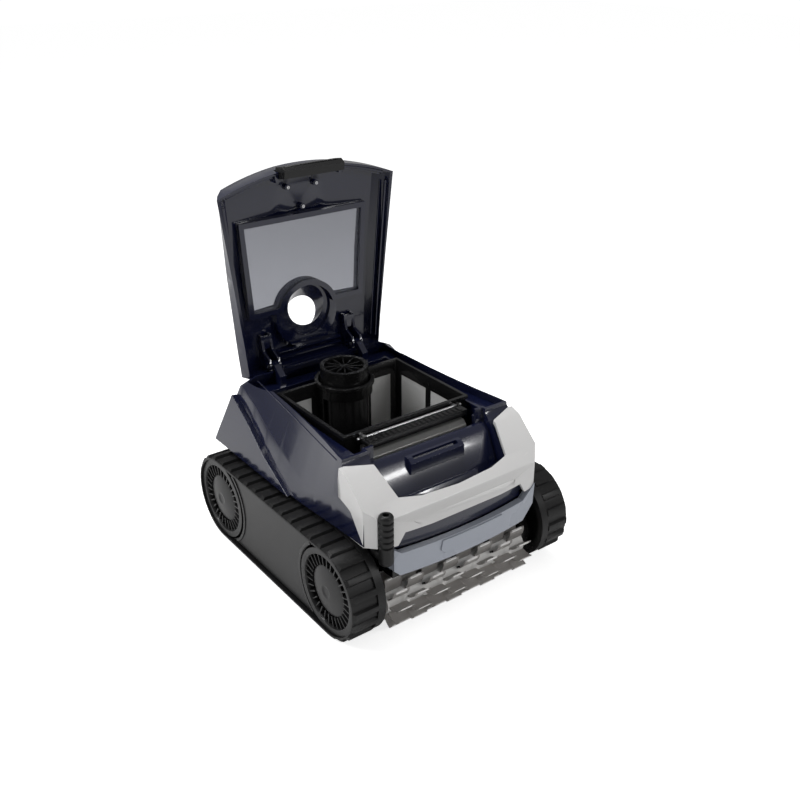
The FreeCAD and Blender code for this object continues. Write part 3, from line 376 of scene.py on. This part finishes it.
GLAND = np.array([-128.0, -198.0])
post = [(118.0, 0.0)] + arc_profile(118, 193, 10, 5, (147, 156, 165, 174, 183), 2.3, 2.6)
post += [(192.6, 4.25), (160.0, 4.25), (160.0, 0.0)]
gland = turned("cable_gland_post", post, (*GLAND, 0), "z", "root", "black_rubber")
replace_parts(gland, "cable_gland")
turned("cable_gland_elbow", arc_profile(-196, -172, 8.5, 2), (GLAND[0], 0, 128), "y", "root",
       "black_rubber")

HUB_FACE, HUB_RIM, HUB_RADIUS, HUB_DISH, HUB_SWELL = 183.0, 179.5, 36.0, 1.6, 5.0
for end, y in (("front", -WHEEL_Y), ("rear", WHEEL_Y)):
    for side, sign in SIDES:
        node = "hub_cap_%s_%s" % (end, side)
        profile = [(sign * a, r)
                   for a, r in dome(HUB_FACE, HUB_RIM, HUB_RADIUS, HUB_DISH, HUB_SWELL)]
        cap = turned("dome_%s_%s" % (end, side), profile, (0, y, WHEEL_Z), "x",
                     "wheel_%s_%s" % (end, side), "grey_plastic", 96, 60)
        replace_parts(cap, node)

BRUSH_AXIS = (0.0, -176.0, 42.0)
BRUSH_HALF, BRUSH_ROOT, BRUSH_TIP = 122.0, 18.5, 38.0
BRUSH_BLOCKS, FLAPS_AROUND = 8, 10
# The middle cells of each flap's tip row are drawn again as thicker pale strips: painted glints of light
# along the flap tips.
GLINT_TIP_CELLS = [(c, 3) for c in (1, 2, 3)]
FLAP_CELLS = [(c, r) for c in range(5) for r in range(4) if (c, r) not in GLINT_TIP_CELLS]


def brush_flaps(name, cells, thickness, slot):
    """The chosen (column, row) cells of every flap: u runs along the axis, v from root to tip.

    A flap stands radially and leans back by an angle that grows with v squared. Its thickness is
    2.4 mm at the root and 1.5 mm at the tip, times thickness. Its tip corners are drawn in, and
    blocks alternate by half a pitch round the roller.
    """
    us = np.array([0.0, 0.16, 0.4, 0.6, 0.84, 1.0])
    vs = np.array([0.0, 0.4, 0.7, 0.92, 1.0])
    u, v = np.meshgrid(us, vs, indexing="ij")
    step = 2 * BRUSH_HALF / BRUSH_BLOCKS
    filled = set(cells)
    index = np.arange(u.size).reshape(u.shape)
    points, faces = [], []
    for b in range(BRUSH_BLOCKS):
        for k in range(FLAPS_AROUND):
            angle = 2 * np.pi * (k + 0.5 * (b % 2)) / FLAPS_AROUND
            base = len(points) * 2 * u.size
            inset = u * (1 - 0.06 * v) + 0.03 * v
            x = -BRUSH_HALF + step * b + 1.2 + (step - 2.4) * inset
            radius = BRUSH_ROOT + (BRUSH_TIP - 0.3 - BRUSH_ROOT) * v
            lean = angle - 0.16 * v ** 2
            half = thickness * (1.2 - 0.45 * v)
            sides = []
            for s in (-1, 1):
                y = radius * np.cos(lean) - s * half * np.sin(lean)
                z = radius * np.sin(lean) + s * half * np.cos(lean)
                sides.append(np.stack([x, y, z], -1).reshape(-1, 3))
            points.append(np.concatenate(sides))
            n = u.size
            for c, r in cells:
                low, next_low = index[c, r], index[c + 1, r]
                high, next_high = index[c, r + 1], index[c + 1, r + 1]
                faces.append([base + low, base + high, base + next_high, base + next_low])
                faces.append([base + n + low, base + n + next_low, base + n + next_high,
                              base + n + high])
                for (dc, dr), (p, q) in (((-1, 0), (low, high)), ((1, 0), (next_high, next_low)),
                                         ((0, -1), (next_low, low)), ((0, 1), (high, next_high))):
                    if (c + dc, r + dr) not in filled:
                        faces.append([base + p, base + n + p, base + n + q, base + q])
    places = (np.concatenate(points) + np.array(BRUSH_AXIS)) * MM
    return mesh_object(name, places, faces, "brush", slot, 25)


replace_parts(brush_flaps("brush_flaps", FLAP_CELLS, 1.0, "brush_pvc"), "brush_fins")
# Painted glints: thicker pale strips on the flap tips, in the brush tube's pale material.
brush_flaps("brush_tip_painted_glints", GLINT_TIP_CELLS, 1.25, "brush_white")


def brush_tube():
    """The pale tube: radius 17 mm + 2 mm * exp(-(distance / 7 mm) ** 4) from the nearest ring.

    There is one ring to every two blocks of flaps.
    """
    pitch = 4 * BRUSH_HALF / BRUSH_BLOCKS
    along = np.linspace(-BRUSH_HALF, BRUSH_HALF, 260)
    ring = 17.0 + 2.0 * np.exp(-((np.mod(along + BRUSH_HALF, pitch) - pitch / 2) / 7.0) ** 4)
    ends = [(-BRUSH_HALF, 4.2)] + list(zip(along, ring)) + [(BRUSH_HALF, 4.2)]
    return turned("brush_tube", ends, BRUSH_AXIS, "x", "brush", "brush_white", 64, 50)


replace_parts(brush_tube(), "brush_core")


# ---------------------------------------------------------------- finer pieces
TWELFTHS = np.linspace(0, 2 * np.pi, 12, endpoint=False)
ROUND = np.stack([np.cos(TWELFTHS), np.sin(TWELFTHS)], 1)


def swept(name, path, across, up, section, body, slot, smooth=40.0):
    """A closed section carried along a path in millimetres, with flat ends.

    Point (i, k) is path[i] + section[k, 0] * across[i] + section[k, 1] * up[i].
    """
    path, section = np.asarray(path, float), np.asarray(section, float)
    across = np.broadcast_to(np.asarray(across, float), path.shape)
    up = np.broadcast_to(np.asarray(up, float), path.shape)
    points = (path[:, None] + section[None, :, :1] * across[:, None]
              + section[None, :, 1:] * up[:, None])
    n, m = len(path), len(section)
    i, k = np.meshgrid(np.arange(n - 1), np.arange(m), indexing="ij")
    a, b = i * m + k, i * m + (k + 1) % m
    faces = np.stack([a, b, b + m, a + m], -1).reshape(-1, 4).tolist()
    faces += [np.arange(m).tolist(), ((n - 1) * m + np.arange(m)).tolist()]
    return mesh_object(name, points.reshape(-1, 3) * MM, faces, body, slot, smooth)


def rounded_bar(width, height, corner):
    """A rectangle centred on the path with round corners: a superellipse of power corner."""
    turn = np.linspace(0, 2 * np.pi, 32, endpoint=False)
    c, s = np.cos(turn), np.sin(turn)
    power = 2.0 / corner
    return np.stack([width / 2 * np.sign(c) * np.abs(c) ** power,
                     height / 2 * np.sign(s) * np.abs(s) ** power], 1)


# The lid's side walls, its wall thickness and the arch at its far end, as in the CAD, in mm
LID_WALL = 3
LID_Z = np.array([244.0, 290.0, 400.0, 516.0])
LID_WALL_X = np.array([120.0, 123.5, 133.0, 143.5])
ARCH_RADIUS, ARCH_CENTRE = 404.4, 141.6


def lid_rails(depth_y, reach):
    """Ledges inside the lid's turned rim: one up each flank and one along each half of the arched end."""
    for side, sign in SIDES:
        z = np.linspace(258, 505, 60)
        x = np.interp(z, LID_Z, LID_WALL_X) - LID_WALL - reach / 2
        path = np.stack([sign * x, np.full_like(z, depth_y), z], 1)
        swept("lid_rail_%s_%d" % (side, depth_y), path, (1, 0, 0), (0, 1, 0),
              rounded_bar(reach, 2.2, 5.0), "lid", "navy_gloss")
        x = np.linspace(58, 132, 40)
        z = ARCH_CENTRE + np.sqrt((ARCH_RADIUS - LID_WALL - reach / 2) ** 2 - x ** 2)
        path = np.stack([sign * x, np.full_like(x, depth_y), z], 1)
        swept("lid_arch_rail_%s_%d" % (side, depth_y), path, (0, 0, 1), (0, 1, 0),
              rounded_bar(reach, 2.2, 5.0), "lid", "navy_gloss")


lid_rails(163, 4.0)
lid_rails(171, 8.0)

# The body's flank by station along Y, as in the CAD, in mm; its rim falls forward from RIM_REAR_Y
RIM_Z, RIM_SLOPE, RIM_REAR_Y = 251, 0.0349, 161
FLANK_Y = np.array([-178, -150, -110, -70, -35, 0, 30, 70, 110, 150, 205.0])
FLANK_CREASE_X = np.array([148, 149, 151, 151, 150, 147, 145, 141, 137, 135, 136.0])
FLANK_CREASE_Z = np.array([176, 180, 186, 172, 169, 179, 190, 206, 224, 240, 232.0])
FLANK_RIM_X = np.array([147, 145, 140, 133, 128, 124, 121, 118, 115, 112, 110.0])


def flank_bead(side, sign, share, radius, low, high):
    """A thin bead on the body's flank: at each y it lies a fixed share of the way from rim to crease."""
    y = np.linspace(low, high, 120)
    rim_x, crease_x = np.interp(y, FLANK_Y, FLANK_RIM_X), np.interp(y, FLANK_Y, FLANK_CREASE_X)
    rim_z, crease_z = RIM_Z - RIM_SLOPE * (RIM_REAR_Y - y), np.interp(y, FLANK_Y, FLANK_CREASE_Z)
    path = np.stack([sign * (rim_x + share * (crease_x - rim_x)), y,
                     rim_z + share * (crease_z - rim_z)], 1)
    swept("flank_bead_%s_%d" % (side, round(share * 100)), path, (1, 0, 0), (0, 0, 1),
          ROUND * radius, "root", "navy_gloss", 60)


for side, sign in SIDES:
    flank_bead(side, sign, 0.12, 0.9, -108, 138)
    turn = np.radians(np.linspace(-56, 56, 90))
    radial = np.stack([np.zeros_like(turn), np.cos(turn), np.sin(turn)], 1)
    for end, facing, y in (("front", 1, -WHEEL_Y), ("rear", -1, WHEEL_Y)):
        out = radial * (1, facing, 1)
        swept("cover_rim_%s_%s" % (end, side), out * 67.6 + (sign * 185.2, y, WHEEL_Z), out,
              (1, 0, 0), rounded_bar(5.0, 2.6, 4.0), "root", "black_plastic")

for i, x in enumerate((-62, -31, 0, 31, 62)):
    swept("cartridge_tick_%d" % i, [(x, -106.2, 196), (x, -106.2, 214)], (1, 0, 0), (0, 1, 0),
          rounded_bar(1.8, 1.6, 4.0), "canister", "black_plastic")
STUD_RING = 18.6
for i, x in enumerate((-91.5, -61, -30.5, 0, 30.5, 61, 91.5)):
    for k, angle in enumerate((0.35, 2.45, 4.55)):
        spot = np.array([x, BRUSH_AXIS[1] + STUD_RING * math.cos(angle),
                         BRUSH_AXIS[2] + STUD_RING * math.sin(angle)])
        radial = np.array([0, math.cos(angle), math.sin(angle)])
        swept("brush_stud_%d_%d" % (i, k), [spot - radial * 2, spot + radial * 3.4], (1, 0, 0),
              (0, -radial[2], radial[1]), ROUND * 1.5, "brush", "black_plastic", 60)

# ---------------------------------------------------------------- room, light and camera
FLOOR_GLOW = 0.72                    # the floor's own light, for camera rays only
AIR_LIGHT, AIR_SEEN = 0.3, 0.75      # the studio's even light, and what camera rays see on top
floor_mat = bpy.data.materials.new("studio_floor")
floor_mat.use_nodes = True
floor_shader = floor_mat.node_tree.nodes["Principled BSDF"]
floor_shader.inputs["Base Color"].default_value = (0.92, 0.92, 0.92, 1)
floor_shader.inputs["Roughness"].default_value = 0.7
floor_shader.inputs["Specular IOR Level"].default_value = 0.0
floor_shader.inputs["Emission Color"].default_value = (1, 1, 1, 1)
seen = floor_mat.node_tree.nodes.new("ShaderNodeLightPath").outputs["Is Camera Ray"]
floor_mat.node_tree.links.new(math_node(floor_mat.node_tree, "MULTIPLY", seen, FLOOR_GLOW),
                              floor_shader.inputs["Emission Strength"])
floor_mesh = bpy.data.meshes.new("studio_floor")
floor_mesh.from_pydata([(-9, -9, 0), (9, -9, 0), (9, 9, 0), (-9, 9, 0)], [], [(0, 1, 2, 3)])
floor = bpy.data.objects.new("studio_floor", floor_mesh)
floor.data.materials.append(floor_mat)
bpy.context.scene.collection.objects.link(floor)

world = bpy.data.worlds.new("studio_air")
bpy.context.scene.world = world
world.use_nodes = True
world.node_tree.nodes["Background"].inputs["Color"].default_value = (1, 1, 1, 1)
seen = world.node_tree.nodes.new("ShaderNodeLightPath").outputs["Is Camera Ray"]
glow = math_node(world.node_tree, "MULTIPLY", seen, AIR_SEEN)
world.node_tree.links.new(math_node(world.node_tree, "ADD", glow, AIR_LIGHT),
                          world.node_tree.nodes["Background"].inputs["Strength"])


def softbox(name, place, target, size, power):
    """A rectangular studio light at place, facing target."""
    data = bpy.data.lights.new(name, "AREA")
    data.shape, data.size, data.size_y, data.energy = "RECTANGLE", size[0], size[1], power
    lamp = bpy.data.objects.new(name, data)
    lamp.location = place
    lamp.rotation_euler = (Vector(target) - Vector(place)).to_track_quat("-Z", "Y").to_euler()
    bpy.context.scene.collection.objects.link(lamp)


softbox("key_light", (-1.5, 0.5, 1.7), (0, 0, 0.15), (0.5, 1.3), 22)
softbox("front_light", (0.9, -1.8, 1.3), (0, 0, 0.2), (1.0, 0.12), 9)
softbox("top_light", (0.1, 0.5, 2.2), (0, 0, 0.2), (0.9, 0.9), 20)

CAMERA_PLACE = (-0.7337, -1.0330, 0.8548)
CAMERA_DOWN, CAMERA_TURN, CAMERA_LENS = 25.997, -36.93, 43.97
camera_data = bpy.data.cameras.new("camera")
camera_data.lens = CAMERA_LENS
camera_data.sensor_width = 36
camera = bpy.data.objects.new("camera", camera_data)
camera.location = CAMERA_PLACE
camera.rotation_euler = Euler((math.radians(90 - CAMERA_DOWN), 0, math.radians(CAMERA_TURN)))
bpy.context.scene.collection.objects.link(camera)
bpy.context.scene.camera = camera
bpy.context.scene.view_settings.view_transform = "Standard"
